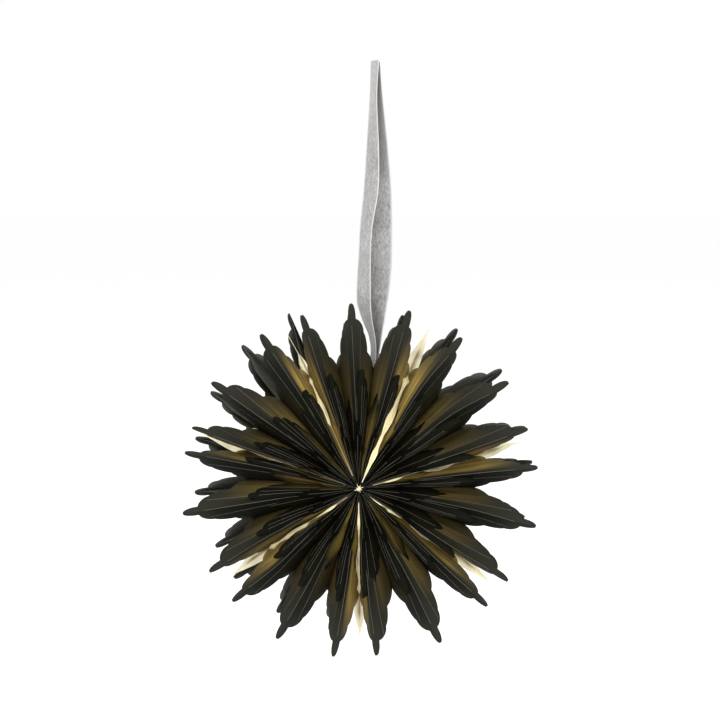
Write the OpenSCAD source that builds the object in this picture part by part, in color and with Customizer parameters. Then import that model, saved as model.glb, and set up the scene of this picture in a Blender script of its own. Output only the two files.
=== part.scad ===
// Hanging paper star: twenty-one folded paper bags stand side by side round a
// core, with their mouths cut to scalloped leaves, smaller pleated rosettes
// lie on both faces, and gold spears sit in seven narrow grooves between them.
// The origin is the top of the ribbon loop. The star's front faces -Y.

/* [Star] */
// Radius from the centre to a leaf tip
tip_r = 150; // [120:1:200]
// Half the depth between the front and the rear leaf rows
half_depth = 42; // [38:1:60]
// Thickness of the dark paper
paper_t = 0.4; // [0.3:0.05:0.6]
// Angle between a bag's edge and its gusset fold, laid flat
flat_angle = 18.4; // [16:0.1:20]
// Radius of the hole left round the core
bore_r = 7; // [7:0.5:10]

/* [Rosettes] */
// How far the middle rosette's centre stands in front of the outer row
mid_rise = 8; // [6:0.5:12]
// How far the small rosette's centre stands in front of the outer row
small_rise = 16; // [13:0.5:22]
// Turn of the rosettes against the outer leaves
rosette_turn = 0; // [-3:0.5:3]

/* [Core] */
// Radius of the core that the bags are glued round
core_r = 6.8; // [5:0.1:6.8]
// Radius of the core's bright end, seen between the folds
end_r = 2.6; // [2:0.1:3]

/* [Ribbon] */
// Height of the loop's top above the star's centre
hang_h = 360; // [340:1:450]
// Thickness of the ribbon
ribbon_t = 0.4; // [0.3:0.05:0.8]

/* [Hidden] */

// direction of each leaf's ridge, in degrees from +X
spines = [6.5, 18.5, 38, 57.5, 74.5, 93, 109, 123.5, 145.5, 161.5, 169.5,
          189.5, 210, 224, 243.5, 263, 275.5, 297, 316.5, 327, 347.5];
n = len(spines);
// first ridge of each of the narrow bags that hold a gold spear
gold_at = [0, 3, 6, 9, 12, 15, 18];
glue = 0.1;

// leaf outline: share of the way from ridge to gusset fold, share of tip_r
outer_cut = [[0.02, 1], [0.08, 0.983], [0.125, 0.95], [0.145, 0.915],
             [0.25, 0.903], [0.35, 0.883], [0.42, 0.857], [0.445, 0.843],
             [0.53, 0.812], [0.6, 0.772], [0.64, 0.735], [0.82, 0.708], [0.94, 0.677], [1, 0.65]];
mouth_r = tip_r * outer_cut[len(outer_cut) - 1][1];
middle_cut = [[0.02, 0.645], [0.1, 0.62], [0.17, 0.565], [0.24, 0.55], [0.33, 0.5],
              [0.45, 0.48], [0.55, 0.42], [0.75, 0.39], [0.88, 0.35], [1, 0.335]];
small_cut = [[0.02, 0.37], [0.15, 0.34], [0.3, 0.28], [0.5, 0.25], [0.7, 0.21], [1, 0.19]];

function a0(k) = spines[k % n];
function span(k) = let (d = spines[(k + 1) % n] - spines[k % n]) d < 0 ? d + 360 : d;

// slope of the fold in a groove of half angle h, whose ridges lean by i and
// whose faces are g wide, and the fold's direction seen from one ridge
function drop(h, g, i) = let (a = cos(h) * cos(i), b = sin(i))
    atan2(b, a) + acos(min(1, cos(g) / norm([a, b])));
function fold_dir(h, b, i) = [cos(b) * cos(h) * cos(i) + sin(b) * sin(i),
                              sin(b) * cos(i) - cos(b) * cos(h) * sin(i),
                              cos(b) * sin(h)];

// one face's outline laid flat: x along the ridge, y towards the fold, with a
// little overlap past the ridge and past the fold to join it to its neighbours
function cut_edge(cut, g) = [for (c = cut) let (w = c[0] * g, s = tip_r * c[1]) [s * cos(w), s * sin(w)]];
function flat_face(cut, g, lap, trim) = concat(
    [[bore_r + trim, -lap], [tip_r * cut[0][1] - trim, -lap]],
    [for (c = cut_edge(cut, g)) [c[0] - trim, c[1]]],
    [for (r = [tip_r * cut[len(cut) - 1][1] - trim, bore_r + trim])
        [r * cos(g) - 0.3 * sin(g), r * sin(g) + 0.3 * cos(g)]]);

// one flat face, hinged on its ridge and turned to lie in the groove
module face(cut, h, b, i, side, lap, trim) {
    v = fold_dir(h, b, i);
    g = acos(v[0]);
    phi = atan2(v[2], v[1]);
    rotate([0, 0, i])
        rotate([side * phi, 0, 0])
            translate([0, 0, side > 0 ? 0 : -paper_t])
                linear_extrude(height = paper_t)
                    polygon(flat_face(cut, g, lap, trim));
}

// both faces of one groove, from its two ridges to its fold
module groove(k, cut, y0, g, i, inset) {
    h = span(k) / 2;
    b = drop(h, g, i);
    lap = inset > 0 ? 0 : 0.2;
    trim = inset > 0 ? 0.1 : 0;
    translate([0, y0, 0]) {
        rotate([0, -a0(k), 0]) translate([0, 0, inset]) face(cut, h, b, i, 1, lap, trim);
        rotate([0, -a0(k) - span(k), 0]) translate([0, 0, -inset]) face(cut, h, b, i, -1, lap, trim + 0.07);
    }
}

module bag(k) {
    inset = glue / 2 + 0.15;
    color([0.13, 0.13, 0.11]) {
        groove(k, outer_cut, -half_depth, flat_angle, 0, inset);
        mirror([0, 1, 0]) groove(k, outer_cut, -half_depth, flat_angle, 0, inset);
        rotate([0, -a0(k), 0]) translate([0, 0, glue / 2]) side_wall();
        rotate([0, -a0(k) - span(k), 0]) translate([0, 0, -glue / 2 - paper_t]) side_wall();
    }
}

// flat side wall of a bag, its mouth cut through with the same outline
module side_wall() {
    edge = concat([[tip_r, -0.35]], cut_edge(outer_cut, flat_angle));
    translate([0, -half_depth, 0])
        linear_extrude(height = paper_t)
            polygon(concat([[bore_r, -0.35]], edge,
                [for (j = [len(edge) - 1 : -1 : 0]) [edge[j][0], 2 * half_depth - edge[j][1]]],
                [[bore_r, 2 * half_depth + 0.35]]));
}

// pleated rosette: its tips rest on the row behind it, its centre stands out
module rosette(cut, y0, lean, g) {
    rotate([0, -rosette_turn, 0])
        for (k = [0 : n - 1]) groove(k, cut, y0, g, lean, 0);
}
mid_lean = atan((mid_rise - 1.4) / (tip_r * middle_cut[0][1]));
small_lean = atan((small_rise - mid_rise + tip_r * small_cut[0][1] * tan(mid_lean) - 1.2)
                  / (tip_r * small_cut[0][1]));

module middle_rosette() color([0.08, 0.08, 0.07])
    rosette(middle_cut, -half_depth - mid_rise, mid_lean, 17);
module small_rosette() color([0.06, 0.06, 0.05])
    rosette(small_cut, -half_depth - small_rise, small_lean, 16);

// gold spear: a narrow V strip in the front groove and one in the rear groove,
// which meet behind the open end of the bag; width of its sides at each radius
spear_slope = 28;
spear_cut = [[12, 0.6], [40, 2.2], [70, 4.6], [92, 8], [112, 15], [124, 14], [134, 8], [140, 2.4], [146, 0.8]];
function spear_y0(h) = -half_depth - 2 + mouth_r * (tan(drop(h, flat_angle, 0)) - tan(spear_slope));
module spear_side(s, open) {
    rotate([0, 0, spear_slope])
        rotate([s * open, 0, 0])
            translate([0, 0, s > 0 ? 0 : -0.4])
                linear_extrude(height = 0.4)
                    polygon(concat([[12, 0.3], [165, 0.3]],
                        [for (j = [len(spear_cut) - 1 : -1 : 0])
                            [spear_cut[j][0] / cos(spear_slope), -spear_cut[j][1]]]));
}
module gold_spear(j) {
    k = gold_at[j];
    h = span(k) / 2;
    b = drop(h, flat_angle, 0);
    open = min(14, 0.85 * atan(sin(h) / tan(b)));
    color([0.93, 0.82, 0.52])
        rotate([0, -a0(k) - h, 0])
            for (m = [0, 1]) mirror([0, m, 0]) translate([0, spear_y0(h), 0]) {
                spear_side(1, open);
                spear_side(-1, open);
            }
}

// round core, with a narrower bright end on each face
module core() color([0.9, 0.8, 0.5])
    rotate([90, 0, 0]) {
        cylinder(r = core_r, h = 2 * half_depth - 2, center = true, $fn = 48);
        cylinder(r = end_r, h = 2 * (half_depth + small_rise), center = true, $fn = 48);
    }

// outlines of the two ribbon strands: left and right edge at each height
front_strand = [[60, 4, 9], [90, 6, 12], [118, 8, 13], [140, 0, 9.5], [155, -4, 8.5], [200, -2, 8.5],
                [220, -1, 11], [250, 2, 16], [280, 4, 17.5], [330, 7, 17]];
rear_strand = [[60, 4, 9], [90, 6, 12], [112, 8, 16], [125, 6, 18], [155, 3, 23], [183, 2, 26],
               [202, 3, 26.5], [245, 5, 26], [286, 7, 23], [330, 8, 18.5]];
loop_r = 1.5;
module strand(s, y) translate([0, y + ribbon_t / 2, 0]) rotate([90, 0, 0])
    linear_extrude(height = ribbon_t)
        polygon(concat([for (p = s) [p[1], p[0]]], [[8, hang_h - loop_r], [16, hang_h - loop_r]],
                       [for (j = [len(s) - 1 : -1 : 0]) [s[j][2], s[j][0]]]));
module ribbon_loop() color([0.74, 0.73, 0.72]) {
    strand(front_strand, -loop_r + ribbon_t / 2);
    strand(rear_strand, loop_r - ribbon_t / 2);
    // the bend over the top
    translate([8, 0, hang_h - loop_r]) rotate([0, 90, 0])
        difference() {
            cylinder(r = loop_r, h = 8, $fn = 32);
            translate([0, 0, -1]) cylinder(r = loop_r - ribbon_t, h = 10, $fn = 32);
            translate([0, -5, -1]) cube([10, 10, 10]);
        }
    // the two ends stitched together
    translate([4.5, -loop_r + 0.1, 60]) cube([4, 2 * loop_r - 0.2, 1.5]);
}

module place() translate([0, 0, -hang_h]) children();

place() bag(0);  // bag_01
place() bag(1);  // bag_02
place() bag(2);  // bag_03
place() bag(3);  // bag_04
place() bag(4);  // bag_05
place() bag(5);  // bag_06
place() bag(6);  // bag_07
place() bag(7);  // bag_08
place() bag(8);  // bag_09
place() bag(9);  // bag_10
place() bag(10);  // bag_11
place() bag(11);  // bag_12
place() bag(12);  // bag_13
place() bag(13);  // bag_14
place() bag(14);  // bag_15
place() bag(15);  // bag_16
place() bag(16);  // bag_17
place() bag(17);  // bag_18
place() bag(18);  // bag_19
place() bag(19);  // bag_20
place() bag(20);  // bag_21
place() middle_rosette();  // front_middle_rosette
place() small_rosette();  // front_small_rosette
place() mirror([0, 1, 0]) middle_rosette();  // rear_middle_rosette
place() mirror([0, 1, 0]) small_rosette();  // rear_small_rosette
place() gold_spear(0);  // gold_spear_1
place() gold_spear(1);  // gold_spear_2
place() gold_spear(2);  // gold_spear_3
place() gold_spear(3);  // gold_spear_4
place() gold_spear(4);  // gold_spear_5
place() gold_spear(5);  // gold_spear_6
place() gold_spear(6);  // gold_spear_7
place() core();
place() ribbon_loop();
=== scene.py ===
import bpy, math, random
from mathutils import Vector, Matrix, noise


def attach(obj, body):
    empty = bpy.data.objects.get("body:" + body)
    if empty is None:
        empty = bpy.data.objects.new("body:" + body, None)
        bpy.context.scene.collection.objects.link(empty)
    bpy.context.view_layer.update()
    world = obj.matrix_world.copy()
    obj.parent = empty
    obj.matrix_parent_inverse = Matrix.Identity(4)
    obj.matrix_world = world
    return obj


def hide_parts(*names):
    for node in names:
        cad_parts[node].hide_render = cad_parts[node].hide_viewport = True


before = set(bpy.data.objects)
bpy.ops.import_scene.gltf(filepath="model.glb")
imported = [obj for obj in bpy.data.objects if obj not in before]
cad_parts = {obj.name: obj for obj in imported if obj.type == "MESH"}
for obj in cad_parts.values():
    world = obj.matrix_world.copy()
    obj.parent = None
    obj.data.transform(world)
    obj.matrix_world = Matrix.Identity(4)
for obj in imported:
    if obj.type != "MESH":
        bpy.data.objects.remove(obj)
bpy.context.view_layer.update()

MM = 0.001
HANG = 360.0          # the star's centre is this far under the origin
scene = bpy.context.scene
rad, deg = math.radians, math.degrees


def P(x, y, z):
    """A point in millimetres from the star's centre, as metres in the row frame."""
    return Vector((x * MM, y * MM, (z - HANG) * MM))


# ---------------------------------------------------------------- camera
CAM_AZ, CAM_EL, CAM_L = 2.0, 5.5, 1700.0
def aim_camera():
    a, e = rad(CAM_AZ), rad(CAM_EL)
    back = Vector((math.sin(a) * math.cos(e), -math.cos(a) * math.cos(e), math.sin(e)))
    right = Vector((math.cos(a), math.sin(a), 0))
    up = back.cross(right)
    target = P(0, -58, 0) + (right * 0.9 + up * 108.4) * MM
    cam = bpy.data.objects.new("camera", bpy.data.cameras.new("camera"))
    scene.collection.objects.link(cam)
    cam.location = target + back * CAM_L * MM
    cam.rotation_mode = "QUATERNION"
    cam.rotation_quaternion = (-back).to_track_quat("-Z", "Y")
    cam.data.sensor_width = 36
    cam.data.lens = 36 * (CAM_L + 16) / 612.0
    cam.data.clip_start, cam.data.clip_end = 0.05, 30
    scene.camera = cam
aim_camera()

# ---------------------------------------------------------------- materials
def new_mat(name):
    m = bpy.data.materials.new(name)
    m.use_nodes = True
    nt = m.node_tree
    for n in list(nt.nodes):
        nt.nodes.remove(n)
    out = nt.nodes.new("ShaderNodeOutputMaterial")
    bsdf = nt.nodes.new("ShaderNodeBsdfPrincipled")
    nt.links.new(bsdf.outputs[0], out.inputs[0])
    return m, nt, bsdf


def node(nt, kind, **kw):
    n = nt.nodes.new(kind)
    for k, v in kw.items():
        if k.startswith("i_"):
            key = k[2:]
            n.inputs[int(key) if key.isdigit() else key].default_value = v
        else:
            setattr(n, k, v)
    return n


def mix_colour(nt, fac, a, b, blend="MIX"):
    m = nt.nodes.new("ShaderNodeMix")
    m.data_type = "RGBA"
    m.blend_type = blend
    for sock, val in ((m.inputs[0], fac), (m.inputs[6], a), (m.inputs[7], b)):
        if hasattr(val, "is_linked") or hasattr(val, "node"):
            nt.links.new(val, sock)
        else:
            sock.default_value = val
    return m.outputs[2]


def math_node(nt, op, a, b=None):
    m = nt.nodes.new("ShaderNodeMath")
    m.operation = op
    for sock, val in ((m.inputs[0], a), (m.inputs[1], b)):
        if val is None:
            continue
        if hasattr(val, "node"):
            nt.links.new(val, sock)
        else:
            sock.default_value = val
    return m.outputs[0]


def paper(name, dark, dark2, gold, rough=0.5, spec=0.4):
    """Smooth coloured paper: fine fibre, cloudy tone, painted shade darker towards the centre, a painted gold
    reflection where the
    'gold' attribute says the folds throw gold light on it, and painted shade where the 'edge' attribute is below zero."""
    m, nt, bsdf = new_mat(name)
    co = node(nt, "ShaderNodeTexCoord")
    cloud = node(nt, "ShaderNodeTexNoise", i_Scale=38.0, i_Detail=4.0, i_Roughness=0.55)
    fibre = node(nt, "ShaderNodeTexNoise", i_Scale=900.0, i_Detail=5.0, i_Roughness=0.7)
    nt.links.new(co.outputs["Object"], cloud.inputs["Vector"])
    nt.links.new(co.outputs["Object"], fibre.inputs["Vector"])
    base = mix_colour(nt, cloud.outputs["Fac"], (*dark, 1), (*dark2, 1))
    fib = node(nt, "ShaderNodeMapRange", i_1=0.35, i_2=0.65, i_3=0.86, i_4=1.14)
    nt.links.new(fibre.outputs["Fac"], fib.inputs[0])
    base = mix_colour(nt, 1.0, base, fib.outputs[0], "MULTIPLY")
    mp = node(nt, "ShaderNodeMapping")
    mp.inputs["Scale"].default_value = (1.0, 0.0, 1.0)
    mp.inputs["Location"].default_value = (0.0, 0.0, HANG / 1000)
    nt.links.new(co.outputs["Object"], mp.inputs["Vector"])
    ln = node(nt, "ShaderNodeVectorMath", operation="LENGTH")
    nt.links.new(mp.outputs[0], ln.inputs[0])
    # Painted shade by radius: the paper stays darkest near the star's centre, where the crowded folds shade each
    # other, and mixes towards pale out towards the leaf tips.
    if name != "paper_inside_painted_light":
        a, b, pale = (0.075, 0.148, (0.034, 0.0335, 0.026, 1))
        if name == "rosette_paper":
            a, b, pale = (0.045, 0.1, (0.0125, 0.0125, 0.0088, 1))
        radial_painted_shade = node(nt, "ShaderNodeMapRange", i_1=a, i_2=b, i_3=0.0, i_4=0.9)
        nt.links.new(ln.outputs["Value"], radial_painted_shade.inputs[0])
        base = mix_colour(nt, radial_painted_shade.outputs[0], base, pale)
    # Painted reflection: the 'gold' attribute mixes a gold tone into the base colour where gold light from the spears
    # would bounce onto the faces; noise and radius vary its strength.
    ga = node(nt, "ShaderNodeAttribute", attribute_name="gold")
    sa = node(nt, "ShaderNodeAttribute", attribute_name="streak")
    streak = node(nt, "ShaderNodeTexNoise", i_Scale=1.0, i_Detail=3.0, i_Roughness=0.55)
    nt.links.new(sa.outputs["Vector"], streak.inputs["Vector"])
    wob = node(nt, "ShaderNodeMapRange", i_1=0.3, i_2=0.7, i_3=0.45, i_4=1.45)
    nt.links.new(streak.outputs["Fac"], wob.inputs[0])
    g = math_node(nt, "MULTIPLY", ga.outputs["Fac"], wob.outputs[0])
    warm = node(nt, "ShaderNodeMapRange", i_1=0.035, i_2=0.09, i_3=1.9, i_4=1.0)
    nt.links.new(ln.outputs["Value"], warm.inputs[0])
    g = math_node(nt, "MULTIPLY", g, warm.outputs[0])
    crisp = node(nt, "ShaderNodeMapRange", i_1=0.035, i_2=0.09, i_3=1.6, i_4=1.0)
    nt.links.new(ln.outputs["Value"], crisp.inputs[0])
    g = math_node(nt, "POWER", g, crisp.outputs[0])
    g = math_node(nt, "MINIMUM", g, 1.0)
    base = mix_colour(nt, g, base, (*gold, 1))
    # Painted shade: where the 'edge' attribute is below zero the base colour is darkened towards black, on faces that
    # look down and on the walls between the bags.
    ea = node(nt, "ShaderNodeAttribute", attribute_name="edge")
    painted_shade_mix = math_node(nt, "MAXIMUM", math_node(nt, "MULTIPLY", ea.outputs["Fac"], -1.0), 0.0)
    base = mix_colour(nt, painted_shade_mix, base, (0.003, 0.0032, 0.002, 1))
    # Painted shade: on the inside paper the front half, whose inner side looks back into the bag, is darkened.
    if name == "paper_inside_painted_light":
        da = node(nt, "ShaderNodeAttribute", attribute_name="painted_inner_shade")
        base = mix_colour(nt, da.outputs["Fac"], base, (0.014, 0.0138, 0.0095, 1))
    nt.links.new(base, bsdf.inputs["Base Color"])
    rr = node(nt, "ShaderNodeMapRange", i_1=0.0, i_2=1.0, i_3=rough, i_4=0.5)
    nt.links.new(g, rr.inputs[0])
    nt.links.new(rr.outputs[0], bsdf.inputs["Roughness"])
    bsdf.inputs["Specular IOR Level"].default_value = spec
    bump = node(nt, "ShaderNodeBump", i_Strength=0.12, i_Distance=0.0002)
    nt.links.new(fibre.outputs["Fac"], bump.inputs["Height"])
    nt.links.new(bump.outputs[0], bsdf.inputs["Normal"])
    return m


# The third colour of each paper is its painted gold reflection.
mat_dark = paper("dark_paper", (0.0075, 0.0078, 0.0045), (0.014, 0.0138, 0.0085), (0.53, 0.375, 0.105), 0.75, 0.05)
# The inside paper is a lit copy of the dark paper: its pale grey is painted light, standing in for light coming
# through the paper and in from the backdrop onto the inner sides.
mat_inside_painted_light = paper("paper_inside_painted_light", (0.085, 0.084, 0.072), (0.125, 0.124, 0.108), (0.20, 0.16, 0.08), 0.8, 0.05)
mat_rosette = paper("rosette_paper", (0.0015, 0.0017, 0.001), (0.0038, 0.0038, 0.0024), (0.40, 0.28, 0.07), 0.8, 0.02)


def gold_material(name, col, col2, rough=0.38):
    m, nt, bsdf = new_mat(name)
    co = node(nt, "ShaderNodeTexCoord")
    cloud = node(nt, "ShaderNodeTexNoise", i_Scale=60.0, i_Detail=3.0)
    fibre = node(nt, "ShaderNodeTexNoise", i_Scale=1100.0, i_Detail=4.0, i_Roughness=0.7)
    nt.links.new(co.outputs["Object"], cloud.inputs["Vector"])
    nt.links.new(co.outputs["Object"], fibre.inputs["Vector"])
    base = mix_colour(nt, cloud.outputs["Fac"], (*col, 1), (*col2, 1))
    sh = node(nt, "ShaderNodeAttribute", attribute_name="shade")
    # Painted shade: the 'shade' attribute browns the gold in the valley of each spear's V.
    base = mix_colour(nt, sh.outputs["Fac"], base, (0.24, 0.16, 0.06, 1))
    nt.links.new(base, bsdf.inputs["Base Color"])
    bsdf.inputs["Metallic"].default_value = 0.15
    bsdf.inputs["Roughness"].default_value = rough
    bump = node(nt, "ShaderNodeBump", i_Strength=0.15, i_Distance=0.0002)
    nt.links.new(fibre.outputs["Fac"], bump.inputs["Height"])
    nt.links.new(bump.outputs[0], bsdf.inputs["Normal"])
    return m


mat_gold = gold_material("gold_paper", (1.0, 0.95, 0.70), (0.98, 0.89, 0.60))
mat_core = gold_material("core_paper", (0.80, 0.70, 0.42), (0.92, 0.84, 0.60))


def velvet_material(name):
    m, nt, bsdf = new_mat(name)
    co = node(nt, "ShaderNodeTexCoord")
    st = node(nt, "ShaderNodeMapping")
    st.inputs["Scale"].default_value = (1.0, 1.0, 0.45)
    nt.links.new(co.outputs["Object"], st.inputs["Vector"])
    crush = node(nt, "ShaderNodeTexNoise", i_Scale=620.0, i_Detail=6.0, i_Roughness=0.75, i_Distortion=0.6)
    broad = node(nt, "ShaderNodeTexNoise", i_Scale=45.0, i_Detail=3.0)
    nt.links.new(st.outputs[0], crush.inputs["Vector"])
    nt.links.new(co.outputs["Object"], broad.inputs["Vector"])
    ramp = node(nt, "ShaderNodeMapRange", i_1=0.36, i_2=0.64, i_3=0.0, i_4=1.0)
    nt.links.new(crush.outputs["Fac"], ramp.inputs[0])
    base = mix_colour(nt, ramp.outputs[0], (0.23, 0.227, 0.223, 1), (0.51, 0.50, 0.49, 1))
    br = node(nt, "ShaderNodeMapRange", i_1=0.3, i_2=0.7, i_3=0.85, i_4=1.12)
    nt.links.new(broad.outputs["Fac"], br.inputs[0])
    base = mix_colour(nt, 1.0, base, br.outputs[0], "MULTIPLY")
    # The 'edge' attribute pales the ribbon along both edges; on the upper part of the rear strand it is painted light
    # that lifts the shade there.
    ea = node(nt, "ShaderNodeAttribute", attribute_name="edge")
    base = mix_colour(nt, ea.outputs["Fac"], base, (0.74, 0.73, 0.72, 1))
    nt.links.new(base, bsdf.inputs["Base Color"])
    bsdf.inputs["Roughness"].default_value = 0.55
    bsdf.inputs["Metallic"].default_value = 0.25
    bsdf.inputs["Sheen Weight"].default_value = 0.4
    bump = node(nt, "ShaderNodeBump", i_Strength=0.5, i_Distance=0.0006)
    nt.links.new(crush.outputs["Fac"], bump.inputs["Height"])
    nt.links.new(bump.outputs[0], bsdf.inputs["Normal"])
    return m


mat_ribbon = velvet_material("crushed_velvet")

# ---------------------------------------------------------------- the folds
SPINES = [6.5, 18.5, 38, 57.5, 74.5, 93, 109, 123.5, 145.5, 161.5, 169.5,
          189.5, 210, 224, 243.5, 263, 275.5, 297, 316.5, 327, 347.5]
N = len(SPINES)
GOLD_AT = [0, 3, 6, 9, 12, 15, 18]
# each leaf's length against the cut pattern, and how the rear edge leans round
REACH = [1.014, 1.006, 1.028, 1.022, 1.035, 1.038, 1.024, 1.025, 1.023, 1.006, 1.013,
         1.023, 0.993, 0.992, 1.009, 0.999, 0.99, 1.018, 1.004, 1.002, 1.027]
REAR_REACH = [1.007, 1.0, 1.022, 1.016, 0.96, 0.95, 0.955, 1.035, 1.035, 1.02, 1.017,
              1.015, 0.994, 1.01, 1.0, 0.985, 0.985, 0.985, 0.99, 0.99, 1.0]
REAR_TURN = [-2.8, -2.9, 1, 0.5, 1, 1.5, 3, -8, -11.5, -9, -0.8,
             -2, -2.7, -2.9, -2.5, -2.5, -3, -3, -3, -3, -3]
HALF = 42.0


def span(k):
    return (SPINES[(k + 1) % N] - SPINES[k % N]) % 360


def drop(h, g, i):
    """Slope of the fold in a groove of half angle h with ridges leaning by i."""
    h, g, i = rad(h), rad(g), rad(i)
    a, b = math.cos(h) * math.cos(i), math.sin(i)
    return deg(math.atan2(b, a) + math.acos(min(1, math.cos(g) / math.hypot(a, b))))


def scallops(spec, per=7):
    """[(share across, radius)] for quarter-round steps: spec rows are
    (share at start, radius at start, share at end, radius at end, roundness)."""
    out = []
    for p0, r0, p1, r1, q in spec:
        for j in range(per):
            t = math.sin(0.5 * math.pi * j / (per - 1))
            c = (1 - t ** q) ** (1 / q)
            out.append((p0 + (p1 - p0) * t, r1 + (r0 - r1) * c))
    return out


OUTER = scallops([(0.0, 150, 0.135, 137.8, 2.0), (0.145, 137.3, 0.44, 127, 1.75),
                  (0.447, 126.5, 0.63, 111, 1.4), (0.64, 110.3, 1.0, 97, 1.35)])
NARROW = scallops([(0.0, 150, 0.155, 137.5, 2.0), (0.165, 136.8, 0.43, 125, 1.8),
                   (0.44, 124.3, 0.66, 110, 1.6), (0.67, 109.4, 1.0, 98, 1.7)])
MIDDLE = scallops([(0.0, 98, 0.2, 91.5, 2.0), (0.21, 91, 0.56, 81, 1.9),
                   (0.57, 80.4, 0.8, 68, 1.7), (0.81, 67.5, 1.0, 55, 1.5)], 6)
SMALL = scallops([(0.0, 56, 0.20, 48, 1.7), (0.23, 46.5, 0.50, 37, 1.6), (0.54, 35.5, 1.0, 26, 1.5)], 6)


def outer_cut(j):
    """The cut of one bag: the narrow bags by the gold spears are cut closer."""
    return NARROW if j in GOLD_AT else OUTER


MID_LEAN = deg(math.atan(6.6 / 99))
SMALL_LEAN = deg(math.atan((8 + 56 * math.tan(rad(MID_LEAN)) - 1.2) / 56))
TIERS = {
    "outer": dict(cut=OUTER, y0=-HALF, lean=0.0, g=18.4, rin=2.9, rows=16, bulge=0.10),
    "middle": dict(cut=MIDDLE, y0=-HALF - 8, lean=MID_LEAN, g=17.0, rin=2.9, rows=12, bulge=0.10),
    "small": dict(cut=SMALL, y0=-HALF - 16, lean=SMALL_LEAN, g=16.0, rin=1.1, rows=9, bulge=0.10),
}


def smooth(a, b, x):
    t = min(1, max(0, (x - a) / (b - a)))
    return t * t * (3 - 2 * t)


TIP_TURN = {2: -2.4, 3: -1.3, 13: -1.2, 14: -1.5, 15: -1.7}


def leaf_shape(k, rear, r):
    """How one leaf strays from the pattern at radius r: turn in degrees and
    shift in depth, the same on both its sides."""
    rnd = random.Random(100 * (k % N) + (7 if rear else 3))
    tip = smooth(70, 150, r)
    a, b, c = rnd.uniform(-1, 1), rnd.uniform(-1, 1), rnd.uniform(-1, 1)
    turn = (TIP_TURN.get(k % N, 0.0) + 0.5 * a) * tip ** 1.6 + 0.9 * b * smooth(20, 80, r) * (1 - smooth(90, 140, r))
    return turn, (2.6 * c) * tip ** 2


def face_point(tier, k, side, h, p, r, rear=False, out=0.0):
    """Point on the face that goes from ridge k towards the fold on one side.
    p is the share of the way across, r the radius; out lifts it off the face."""
    t = TIERS[tier]
    b = drop(h, t["g"], t["lean"])
    ti, tb = math.tan(rad(t["lean"])), math.tan(rad(b))
    belly = t["bulge"] * math.sin(math.pi * p) * smooth(0, 60, r)
    depth = t["y0"] + r * (ti + (tb - ti) * (p - belly))
    dt, dy = leaf_shape(k, rear, r) if tier == "outer" else (0.0, 0.0)
    keep = (1 - p) ** 1.2
    ang = SPINES[k % N] + side * p * h + dt * keep
    depth += dy * keep - out
    if rear:
        depth = -depth
        turn0 = REAR_TURN[k % N]
        turn1 = REAR_TURN[(k + side) % N]
        ang += turn0 * (1 - p / 2) + turn1 * (p / 2)
    return ang, r, depth


def to_point(ang, r, y, off=0.0, side=1):
    """Cylinder coordinates to a point; off moves it into its own bag, off the
    plane of the seam."""
    a = rad(ang)
    return P(r * math.cos(a) - side * off * math.sin(a), y, r * math.sin(a) + side * off * math.cos(a))


def painted_gold_light(j, side, p, r, tier):
    """How much gold light falls on a face: strong beside the gold spears,
    a streak on the faces that look up, little on those that look down."""
    near = j in GOLD_AT
    rnd = random.Random(j * 31 + (1 if side > 0 else 2))
    k = j if side > 0 else (j + 1) % N
    up = side * math.cos(rad(SPINES[k]))          # 1 on a face that looks up
    if tier == "outer":
        if near:
            a = smooth(20, 52, r) * (1 - 0.75 * smooth(92, 124, r)) * (1 - smooth(122, 136, r))
            b = smooth(0.06, 0.34, p) * (1 - 0.25 * smooth(0.85, 1.0, p))
            return (0.6 + 0.3 * rnd.random()) * (0.85 + 0.15 * up) * a * b
        amount = (0.17 + 0.24 * rnd.random()) * (0.6 + 0.4 * up)
        a = smooth(30, 60, r) * (1 - smooth(68, 126, r))
        b = smooth(0.12, 0.5, p) * (1 - 0.5 * smooth(0.88, 1.0, p))
        return amount * a * b
    glow = rnd.random()
    amount = (0.45 + 0.3 * glow) if near else 0.30 * smooth(0.45, 1.0, glow) + 0.03
    return amount * smooth(5, 18, r) * (1 - smooth(52, 78, r)) * smooth(0.2, 0.65, p)


def painted_down_shade(j, side, p, r):
    """How much painted shade darkens a face that looks down into the next leaf."""
    k = j if side > 0 else (j + 1) % N
    up = side * math.cos(rad(SPINES[k]))
    near = 0.5 if j in GOLD_AT else 1.0
    return near * 0.8 * smooth(-0.25, 0.9, -up) * (1 - 0.6 * smooth(118, 140, r))


def new_object(name, verts, faces, mats, attrs=None, smooth_faces=True, sharp=None):
    me = bpy.data.meshes.new(name)
    me.from_pydata([tuple(v) for v in verts], [], faces)
    me.validate()
    for m in mats:
        me.materials.append(m)
    for key, vals in (attrs or {}).items():
        if isinstance(vals[0], tuple):
            at = me.attributes.new(key, "FLOAT_VECTOR", "POINT")
            at.data.foreach_set("vector", [c for v in vals for c in v])
        else:
            at = me.attributes.new(key, "FLOAT", "POINT")
            at.data.foreach_set("value", vals)
    ob = bpy.data.objects.new(name, me)
    scene.collection.objects.link(ob)
    if smooth_faces:
        me.shade_smooth()
    return ob


def solidify(ob, thick, offset=0.0):
    m = ob.modifiers.new("thickness", "SOLIDIFY")
    m.thickness = thick
    m.offset = offset
    m.use_even_offset = False
    return m


def sharp_by_angle(ob, angle=28):
    ob.data.set_sharp_from_angle(angle=rad(angle))


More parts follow.
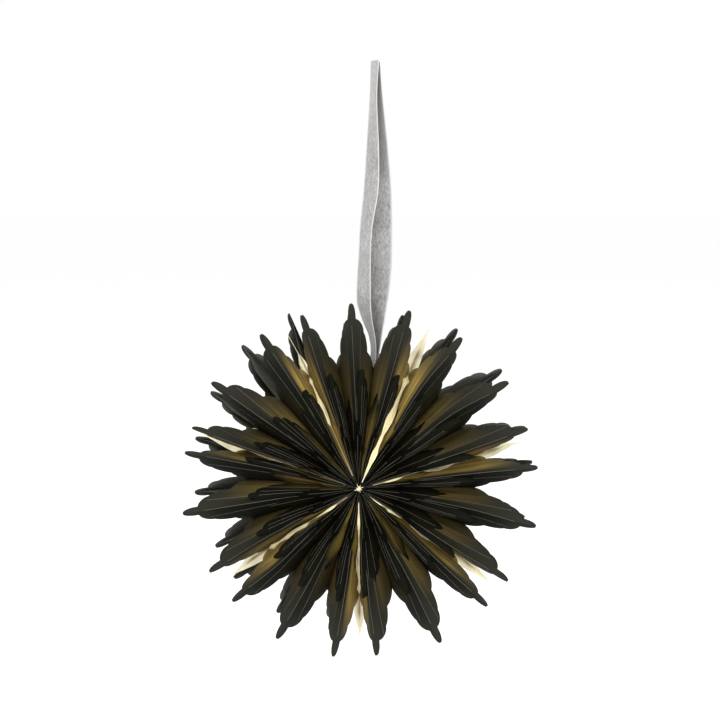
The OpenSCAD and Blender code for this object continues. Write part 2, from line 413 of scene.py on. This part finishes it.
def make_bag(j):
    """One folded bag: gusset in front, wall, gusset behind, wall, one skin."""
    k0, k1 = j, (j + 1) % N
    h = span(j) / 2
    t = TIERS["outer"]
    rows, rin = t["rows"], t["rin"]
    cut = outer_cut(j)
    cols = []     # each: function of row share -> (point, gold, edge)
    off = 0.28

    def reach(k, p, rear):
        return 1 + ((REAR_REACH if rear else REACH)[k % N] - 1) * (1 - p) ** 0.7

    def gusset(k, side, p, rr, rear):
        R = rr * reach(k, p, rear)
        def f(s):
            r = rin + (R - rin) * s
            a, r2, y = face_point("outer", k, side, h, p, r, rear)
            e = 1.0 if p < 1e-6 else 0.0
            g = painted_gold_light(j, side, p, r, "outer")
            dark = painted_down_shade(j, side, p, r)
            # g is the painted gold reflection and the negative value is the painted shade, both stored as attributes.
            return to_point(a, r2, y, off * (1 - p), side), g, -dark
        return f

    def wall(k, side, w):
        # w runs 0..1 from the front ridge to the rear ridge
        y_share = -math.cos(math.pi * w)
        depth_in = HALF * (1 - abs(y_share))
        def R_at(c):
            # radius of the cut where the flat bag is c millimetres in from its edge
            best = 98.0 * math.cos(rad(18.4))
            for p, r in cut:
                g = rad(18.4 * p)
                if r * math.sin(g) >= c:
                    best = r * math.cos(g)
                    break
            return best
        R0 = R_at(depth_in)
        u0 = (1 + y_share) / 2
        R = R0 * (1 + (REACH[k % N] * (1 - u0) + REAR_REACH[k % N] * u0 - 1) * smooth(90, 140, R0))
        def f(s):
            r = rin + (R - rin) * s
            dt, dy = leaf_shape(k, False, r)
            dt2, dy2 = leaf_shape(k, True, r)
            u = (1 + y_share) / 2
            ang = SPINES[k % N] + dt * (1 - u) + (dt2 + REAR_TURN[k % N]) * u
            y = HALF * y_share + dy * (1 - u) - dy2 * u
            # The walls get a faint painted gold reflection and 0.3 of painted shade.
            return to_point(ang, r, y, off, side), 0.12 * smooth(30, 80, r) * (1 - smooth(90, 130, r)), -0.3
        return f

    for p, r in cut:
        cols.append(gusset(k0, 1, p, r, False))
    for p, r in reversed(cut[:-1]):
        cols.append(gusset(k1, -1, p, r, False))
    ws = [0.06, 0.12, 0.2, 0.3, 0.4, 0.5, 0.6, 0.7, 0.8, 0.88, 0.94]
    for w in ws:
        cols.append(wall(k1, -1, w))
    for p, r in cut:
        cols.append(gusset(k1, -1, p, r, True))
    for p, r in reversed(cut[:-1]):
        cols.append(gusset(k0, 1, p, r, True))
    for w in reversed(ws):
        cols.append(wall(k0, 1, w))

    verts, gold, edge, streak, painted_inner_shade, faces = [], [], [], [], [], []
    for c, f in enumerate(cols):
        for i in range(rows + 1):
            s = i / rows
            v, g, e = f(s)
            verts.append(v); gold.append(g); edge.append(e)
            # painted shade on the inner side of the front half
            painted_inner_shade.append(1.0 if v.y < 0 else 0.0)
            streak.append((7.0 * math.sin(2 * math.pi * c / len(cols)), 7.0 * math.cos(2 * math.pi * c / len(cols)) + 13.0 * j, 1.6 * s))
    n = len(cols)
    for c in range(n):
        c2 = (c + 1) % n
        for i in range(rows):
            faces.append((c * (rows + 1) + i, c * (rows + 1) + i + 1, c2 * (rows + 1) + i + 1, c2 * (rows + 1) + i))
    ob = new_object("bag_%02d_paper" % (j + 1), verts, faces, [mat_dark, mat_inside_painted_light], {"gold": gold, "edge": edge, "streak": streak, "painted_inner_shade": painted_inner_shade})
    if ob.data.polygons[rows // 2].normal.y > 0:
        ob.data.flip_normals()          # the first column is front paper: it faces the front
    sharp_by_angle(ob, 24)
    solidify(ob, 0.00035).material_offset = 1
    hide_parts("bag_%02d" % (j + 1))
    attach(ob, "root")
    return ob


def rosette_turns(tier):
    """How far each ridge of a rosette leans round, in degrees at its tip."""
    rnd = random.Random(21 if tier == "middle" else 22)
    most = [min(4.6, 0.55 * span((k - 1) % N)) for k in range(N)]
    return [-m * (0.95 + rnd.uniform(-0.15, 0.1)) * (1.0 if tier == "middle" else 0.5) for m in most]


def make_rosette(tier, rear, name, nodename):
    t = TIERS[tier]
    cut, rows, rin = t["cut"], t["rows"], t["rin"]
    rnd = random.Random(11 + len(tier) + (50 if rear else 0))
    turn = rosette_turns(tier)
    size = [1 + rnd.uniform(-0.05, 0.05) for _ in range(N)]
    verts, gold, edge, streak, faces = [], [], [], [], []
    cols = []
    for j in range(N):
        h = span(j) / 2
        k0, k1 = j, (j + 1) % N
        for p, r in cut[:-1]:
            cols.append((k0, 1, h, p, r, j))
        cols.append((k0, 1, h, 1.0, cut[-1][1], j))
        for p, r in reversed(cut[1:-1]):
            cols.append((k1, -1, h, p, r, j))
    for k, side, h, p, rr, j in cols:
        R = rr * (1 + (size[k] - 1) * (1 - p))
        for i in range(rows + 1):
            s = i / rows
            r = rin + (R - rin) * s
            a, r2, y = face_point(tier, k, side, h, p, r, False)
            a += turn[k] * (1 - p) * smooth(12, 62, r)
            if rear:
                y = -y
                a += REAR_TURN[k] * (1 - p / 2) + REAR_TURN[(k + side) % N] * p / 2
            verts.append(to_point(a, r2, y))
            # painted gold reflection, weaker on the rear rosettes
            gold.append(painted_gold_light(j, side, p, r, tier) * (0.6 if rear else 1))
            edge.append(0.0)
            streak.append((3.0 * side * p, 5.0 * k, 1.6 * s))
    n = len(cols)
    for c in range(n):
        c2 = (c + 1) % n
        for i in range(rows):
            faces.append((c * (rows + 1) + i, c * (rows + 1) + i + 1, c2 * (rows + 1) + i + 1, c2 * (rows + 1) + i))
    ob = new_object(name, verts, faces, [mat_rosette], {"gold": gold, "edge": edge, "streak": streak})
    sharp_by_angle(ob, 24)
    solidify(ob, 0.00035)
    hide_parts(nodename)
    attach(ob, "root")
    return ob


for j in range(N):
    make_bag(j)
make_rosette("middle", False, "front_middle_pleats", "front_middle_rosette")
make_rosette("small", False, "front_small_pleats", "front_small_rosette")
make_rosette("middle", True, "rear_middle_pleats", "rear_middle_rosette")
make_rosette("small", True, "rear_small_pleats", "rear_small_rosette")


# ---------------------------------------------------------------- pale fold lines: painted highlights along the folds
def strip(points, normals, width, height, verts, faces):
    """Adds a thin raised strip along points; normals point off the face."""
    base = len(verts)
    m = len(points)
    for i, (q, nrm) in enumerate(zip(points, normals)):
        d = (points[min(i + 1, m - 1)] - points[max(i - 1, 0)]).normalized()
        side = d.cross(nrm).normalized()
        w = width * (0.45 + 0.55 * math.sin(math.pi * min(1, (i + 0.6) / m * 1.2) * 0.5))
        for a, b in ((-0.5, -0.6), (0.5, -0.6), (0.3, 1.0), (-0.3, 1.0)):
            verts.append(q + side * a * w + nrm * b * height)
    for i in range(m - 1):
        o = base + 4 * i
        for c in range(4):
            c2 = (c + 1) % 4
            faces.append((o + c, o + c2, o + 4 + c2, o + 4 + c))
    faces.append((base, base + 3, base + 2, base + 1))
    o = base + 4 * (m - 1)
    faces.append((o, o + 1, o + 2, o + 3))


# The pale colour of these strips is a painted highlight, the light caught along each sharp fold and crease.
mat_fold_highlight, nt, bs = new_mat("fold_highlight")
co = node(nt, "ShaderNodeTexCoord")
nz = node(nt, "ShaderNodeTexNoise", i_Scale=14.0, i_Detail=2.0)
nt.links.new(co.outputs["Object"], nz.inputs["Vector"])
mr = node(nt, "ShaderNodeMapRange", i_1=0.3, i_2=0.7, i_3=0.0, i_4=1.0)
nt.links.new(nz.outputs["Fac"], mr.inputs[0])
nt.links.new(mix_colour(nt, mr.outputs[0], (0.10, 0.096, 0.075, 1), (0.165, 0.158, 0.125, 1)), bs.inputs["Base Color"])
bs.inputs["Roughness"].default_value = 0.5


def ridge_strips(tier, rear, name):
    t = TIERS[tier]
    verts, faces = [], []
    sgn = 1 if rear else -1
    for k in range(N):
        ends = REAR_REACH if rear else REACH
        R = t["cut"][0][1] * (ends[k] if tier == "outer" else 1) - (19 if tier == "outer" else 12)
        lo = 3.5
        pts, nr = [], []
        for i in range(29):
            r = lo + (R - lo) * i / 28
            h = span(k) / 2
            a, r2, y = face_point(tier, k, 1, h, 0.0, r, rear)
            if tier != "outer":
                a, r2, y = face_point(tier, k, 1, h, 0.0, r, False)
                y = -y if rear else y
                a += rosette_turns(tier)[k] * smooth(12, 62, r) + (REAR_TURN[k] if rear else 0)
            pts.append(to_point(a, r2, y))
            nr.append(Vector((0, sgn, 0)))
        strip(pts, nr, 0.00032 if tier == "outer" else 0.0002, 0.0006, verts, faces)
    ob = new_object(name, verts, faces, [mat_fold_highlight], smooth_faces=False)
    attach(ob, "root")
    return ob


def tip_folds(rear, name):
    """The folded paper that closes the ridge at each outer leaf's end."""
    verts, faces = [], []
    for k in range(N):
        R = TIERS["outer"]["cut"][0][1] * (REAR_REACH if rear else REACH)[k]
        pts = []
        for i in range(13):
            r = R - 21 + 20.2 * i / 12
            pts.append(to_point(*face_point("outer", k, 1, span(k) / 2, 0.0, r, rear)))
        strip(pts, [Vector((0, 1 if rear else -1, 0))] * 13, 0.001, 0.0003, verts, faces)
    ob = new_object(name, verts, faces, [mat_dark], smooth_faces=False)
    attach(ob, "root")
    return ob


def crease_strips(tier, rear, shares, name):
    """Fine creases pressed into the faces, from the scallops towards the centre."""
    verts, faces = [], []
    rnd = random.Random(77 if tier == "outer" else 78)
    for j in range(N):
        h = span(j) / 2
        cut = outer_cut(j) if tier == "outer" else TIERS[tier]["cut"]
        turn = rosette_turns(tier) if tier != "outer" else [0] * N
        for k, side in ((j, 1), ((j + 1) % N, -1)):
            for p in shares:
                top = min(r for q, r in cut if q <= p + 0.02) - rnd.uniform(1, 7)
                low = (38 if tier == "outer" else 5) + rnd.uniform(0, 10)
                if top - low < 10:
                    continue
                pts, nr = [], []
                for i in range(25):
                    r = low + (top - low) * i / 24
                    if tier == "outer":
                        a, r2, y = face_point(tier, k, side, h, p, r, rear, 0.2)
                    else:
                        a, r2, y = face_point(tier, k, side, h, p, r, False, 0.3)
                        a += turn[k % N] * (1 - p) * smooth(12, 62, r)
                        if rear:
                            y = -y
                            a += REAR_TURN[k % N] * (1 - p / 2) + REAR_TURN[(k + side) % N] * p / 2
                    pts.append(to_point(a, r2, y))
                    nr.append(Vector((0, 1 if rear else -1, 0)))
                strip(pts, nr, 0.00028 if tier == "outer" else 0.00018, 0.00045, verts, faces)
    ob = new_object(name, verts, faces, [mat_fold_highlight], smooth_faces=False)
    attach(ob, "root")
    return ob


for rear in (False, True):
    w = "rear" if rear else "front"
    tip_folds(rear, w + "_outer_tip_folds")
    crease_strips("outer", rear, (0.32,), w + "_outer_creases")
    crease_strips("middle", rear, (0.28, 0.6), w + "_middle_creases")
    crease_strips("small", rear, (0.5,), w + "_small_creases")
for tier in ("outer", "middle", "small"):
    ridge_strips(tier, False, "front_%s_fold_edges" % tier)
    ridge_strips(tier, True, "rear_%s_fold_edges" % tier)


# ---------------------------------------------------------------- gold spears
SPEAR = [(12, 0.3), (21, 0.35), (26, 1.0), (32, 1.4), (39, 0.7), (46, 0.3), (54, 0.5), (61, 1.5), (68, 2.4),
         (75, 2.3), (82, 1.0), (88, 0.6), (93, 1.4), (98, 3.6), (104, 5.4), (111, 5.7), (118, 4.9),
         (125, 3.5), (131, 2.1), (136, 1.0), (140, 0.4), (145, 0.16)]
WIDE_SPEAR = [(7, 0.5), (14, 0.8), (22, 1.1), (28, 2.0), (33, 2.3), (38, 1.1), (46, 1.2), (54, 2.0), (61, 2.9), (68, 2.8),
              (75, 1.7), (82, 1.1), (88, 1.0), (93, 1.7), (98, 3.4), (104, 5.0), (111, 5.4), (118, 4.8),
              (125, 3.7), (131, 2.5), (136, 1.3), (140, 0.5), (145, 0.16)]


# how much of each spear shows between the folds near the centre
INNER = [0.55, 1.0, 0.3, 0.3, 0.7, 0.75, 0.75]
# where the neighbouring folds hide the gold, in mm from the axis
HIDDEN = [[(0, 22), (36, 57)], [(0, 14), (46.5, 50.5)], [(0, 57)], [(0, 56)],
          [(0, 25), (47, 55)], [(0, 13)], [(0, 16), (25, 30), (44, 53)]]


def hidden(idx, r):
    share = 0.85 if idx == 1 and r > 40 else 0.6 if idx == 1 else 0.97
    if idx == 1 and r > 40:
        share = 0.4
    return share * max(smooth(a - 1, a + 2.5, r) * (1 - smooth(b - 2.5, b + 2, r)) for a, b in HIDDEN[idx])


def finer(table, step=2.0):
    out = []
    for (r0, w0), (r1, w1) in zip(table, table[1:]):
        n = max(1, round((r1 - r0) / step))
        out += [(r0 + (r1 - r0) * i / n, w0 + (w1 - w0) * i / n) for i in range(n)]
    return out + [table[-1]]



def make_spear(idx):
    j = GOLD_AT[idx]
    h = span(j) / 2
    mid = SPINES[j] + h
    b1 = drop(h, 18.4, 0)
    y0 = -HALF - 2 + 98.0 * (math.tan(rad(b1)) - math.tan(rad(28)))
    rnd = random.Random(900 + idx)
    lean = rnd.uniform(-0.8, 0.8)
    reach = 1 + rnd.uniform(-0.02, 0.01)
    table = finer(WIDE_SPEAR if idx == 1 else SPEAR)
    verts, faces, shade = [], [], []
    for rear in (False, True):
        base = len(verts)
        rows = []
        for r, w in table:
            if r < 52:
                w *= INNER[idx] + (1 - INNER[idx]) * smooth(46, 52, r)
            w *= 1 - hidden(idx, r)
            if idx == 2 and r > 90:
                w *= 0.45 * (1 - smooth(112, 124, r)) + 0.02
            yv = y0 + r * math.tan(rad(28))
            yv = yv if r < 96 else yv + (-1.2 - yv) * smooth(96, 118, r)
            yv = min(yv, -0.8)
            if idx != 1 and r < 60:
                yv += 3.0 * hidden(idx, r)
            rise = w * (2.4 - 1.7 * smooth(88, 118, r))
            ws = [(-1, 1), (-0.66, 0.62), (-0.33, 0.28), (0, 0), (0.33, 0.28), (0.66, 0.62), (1, 1)]
            row = []
            for c, (u, v) in enumerate(ws):
                ang = mid + lean * smooth(90, 150, r) + REAR_TURN[j] * (1 if rear else 0) * (1 - smooth(90, 125, r))
                a = rad(ang)
                y = yv - rise * v
                if rear:
                    y = -y
                rr = r * (1 + (reach - 1) * smooth(80, 150, r))
                row.append(P(rr * math.cos(a) - u * w * math.sin(a), y, rr * math.sin(a) + u * w * math.cos(a)))
                # Painted shade in the valley of the V, along the spear's outer part.
                painted_valley_shade = smooth(96, 104, r) * (1 - smooth(118, 130, r)) * (1.0 if c == 3 else 0.55 if c == 2 else 0.0)
                shade.append(painted_valley_shade)
            rows.append(row)
        for row in rows:
            verts += row
        for i in range(len(rows) - 1):
            for c in range(6):
                o = base + 7 * i + c
                faces.append((o, o + 7, o + 8, o + 1))
    ob = new_object("gold_spear_%d_paper" % (idx + 1), verts, faces, [mat_gold], {"shade": shade})
    sub = ob.modifiers.new("curve", "SUBSURF")
    sub.levels = sub.render_levels = 1
    solidify(ob, 0.0003)
    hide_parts("gold_spear_%d" % (idx + 1))
    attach(ob, "root")


for idx in range(7):
    make_spear(idx)


def make_core():
    """The rolled core, its two ends crumpled into a small uneven point."""
    rnd = random.Random(5)
    verts, faces = [], []
    M = 16
    ends = [(2.5 if i % 4 == 1 else 1.8 if i % 4 == 3 else 0.8) * (0.8 + 0.4 * rnd.random()) for i in range(M)]
    prof = [(-59.6, 0.3, 1), (-59.4, 1.1, 1), (-58.9, 1.7, 1), (-58.3, 1.2, 0.4), (-57, 0.95, 0), (-50, 0.95, 0),
            (-48, 2.4, 0), (-40.6, 2.4, 0), (-40.5, 6.7, 0)]
    prof = prof + [(-y, r, e) for y, r, e in reversed(prof)]
    for y, r, e in prof:
        for i in range(M):
            a = 2 * math.pi * i / M
            rr = min(5.2, r * (1 + (ends[i] - 1) * e)) if abs(y) > 40.55 else r
            verts.append(P(rr * math.cos(a), y + (0.3 * (1 - ends[i]) * (1 if y > 0 else -1) if 58.5 < abs(y) < 59.5 else 0), rr * math.sin(a)))
    for q in range(len(prof) - 1):
        for i in range(M):
            i2 = (i + 1) % M
            faces.append((q * M + i, q * M + i2, (q + 1) * M + i2, (q + 1) * M + i))
    faces.append(tuple(range(M)))
    faces.append(tuple((len(prof) - 1) * M + i for i in reversed(range(M))))
    ob = new_object("rolled_core", verts, faces, [mat_core], {"shade": [0.0] * len(verts)})
    sharp_by_angle(ob, 30)
    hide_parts("core")
    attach(ob, "root")


make_core()


# ---------------------------------------------------------------- ribbon
FRONT = [(60, 4, 9), (90, 6, 12), (118, 8, 13), (140, 0, 9.5), (155, -4, 8.5), (200, -2, 8.5),
         (220, -1, 10), (250, 2, 14.8), (280, 4, 15.4), (330, 7, 13.6), (358.5, 8, 15.2)]
REAR = [(60, 4, 9), (90, 6, 12), (112, 8, 16), (125, 6, 18), (155, 3, 23), (183, 2, 26),
        (202, 3, 26.5), (245, 5, 26), (286, 7, 23), (330, 8, 18.5), (358.5, 8, 16)]


def along(table, z):
    """Smooth left and right edge at height z."""
    for i in range(len(table) - 1):
        if table[i][0] <= z <= table[i + 1][0]:
            break
    p = [table[max(i - 1, 0)], table[i], table[i + 1], table[min(i + 2, len(table) - 1)]]
    t = (z - p[1][0]) / (p[2][0] - p[1][0])
    res = []
    for c in (1, 2):
        a, b, cc, d = (q[c] for q in p)
        m0 = (cc - a) / max(1e-6, p[2][0] - p[0][0]) * (p[2][0] - p[1][0])
        m1 = (d - b) / max(1e-6, p[3][0] - p[1][0]) * (p[2][0] - p[1][0])
        res.append((2 * t**3 - 3 * t**2 + 1) * b + (t**3 - 2 * t**2 + t) * m0 + (-2 * t**3 + 3 * t**2) * cc + (t**3 - t**2) * m1)
    return res


def make_ribbon():
    W = 20.0
    COLS = 12
    rows = []

    def cross(table, z, shift, flip):
        xl, xr = along(table, z)
        d = math.sqrt(max(0.0, W * W - (xr - xl) ** 2)) * 0.5
        d = min(d, 9.3)
        row = []
        for c in range(COLS + 1):
            u = c / COLS
            x = xl + (xr - xl) * u
            y = d * (1 - 2 * u) * (1 if not flip else 1) + shift
            y -= 0.9 * math.sin(math.pi * u)
            row.append((x, y, z))
        return row

    zs = [60 + (358.5 - 60) * i / 70 for i in range(71)]
    for z in zs:
        rows.append(cross(FRONT, z, -1.5 - 2.0 * smooth(80, 160, z) * (1 - smooth(260, 350, z)), False))
    for a in (30, 60, 90, 120, 150):
        row = []
        for (x, y, z) in rows[70]:
            row.append((x, y + 1.5 * (1 - math.cos(rad(a))), z + 1.5 * math.sin(rad(a))))
        rows.append(row)
    for z in reversed(zs):
        rows.append(cross(REAR, z, 1.5 + 3.0 * smooth(80, 160, z) * (1 - smooth(260, 350, z)), False))
    verts, faces, edge = [], [], []
    for i, row in enumerate(rows):
        for c, (x, y, z) in enumerate(row):
            verts.append(P(x, y, z))
            # paler along both edges; on the rear strand's upper part, painted light against its shade
            edge.append(1.0 if c in (0, COLS) else 0.45 * smooth(230, 340, z) if i > 72 else 0.0)
    n = COLS + 1
    for i in range(len(rows) - 1):
        for c in range(COLS):
            o = i * n + c
            faces.append((o, o + n, o + n + 1, o + 1))
    ob = new_object("velvet_ribbon", verts, faces, [mat_ribbon], {"edge": edge})
    solidify(ob, 0.0005)
    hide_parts("ribbon_loop")
    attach(ob, "root")
    return ob


make_ribbon()


# ---------------------------------------------------------------- studio
def emit_free(name, col, rough=0.9):
    m, nt, bsdf = new_mat(name)
    bsdf.inputs["Base Color"].default_value = (*col, 1)
    bsdf.inputs["Roughness"].default_value = rough
    return m


def floor_disc():
    mat = emit_free("pale_floor", (0.99, 0.99, 0.99))
    verts = [(0, 0, -0.85)]
    rings = (1.0, 3.0, 9.0, 30.0)
    M = 48
    for r in rings:
        for i in range(M):
            a = 2 * math.pi * i / M
            verts.append((r * math.cos(a), r * math.sin(a), -0.85))
    faces = [(0, 1 + i, 1 + (i + 1) % M) for i in range(M)]
    for q in range(len(rings) - 1):
        for i in range(M):
            a, b = 1 + q * M + i, 1 + q * M + (i + 1) % M
            faces.append((a, a + M, b + M, b))
    ob = new_object("studio_floor", verts, faces, [mat])


floor_disc()
world = bpy.data.worlds.new("studio")
scene.world = world
world.use_nodes = True
bg = world.node_tree.nodes["Background"]
bg.inputs[0].default_value = (1.0, 1.0, 1.0, 1)
bg.inputs[1].default_value = 1.0


def area(name, loc, target, size, power, col=(1, 1, 1)):
    li = bpy.data.lights.new(name, "AREA")
    li.shape = "RECTANGLE"
    li.size, li.size_y = size
    li.energy = power
    li.color = col
    ob = bpy.data.objects.new(name, li)
    scene.collection.objects.link(ob)
    ob.location = loc
    ob.rotation_mode = "QUATERNION"
    ob.rotation_quaternion = (Vector(target) - Vector(loc)).to_track_quat("-Z", "Y")
    return ob


area("key", (-0.9, -1.6, 1.5), (0, 0, -0.35), (1.2, 1.0), 20)
area("fill", (1.6, -1.4, 0.5), (0, 0, -0.35), (1.0, 1.2), 8)
area("floorlight", (0, 2.2, 1.9), (0, 3.2, -0.85), (3.0, 1.5), 30)
scene.view_settings.view_transform = "Standard"
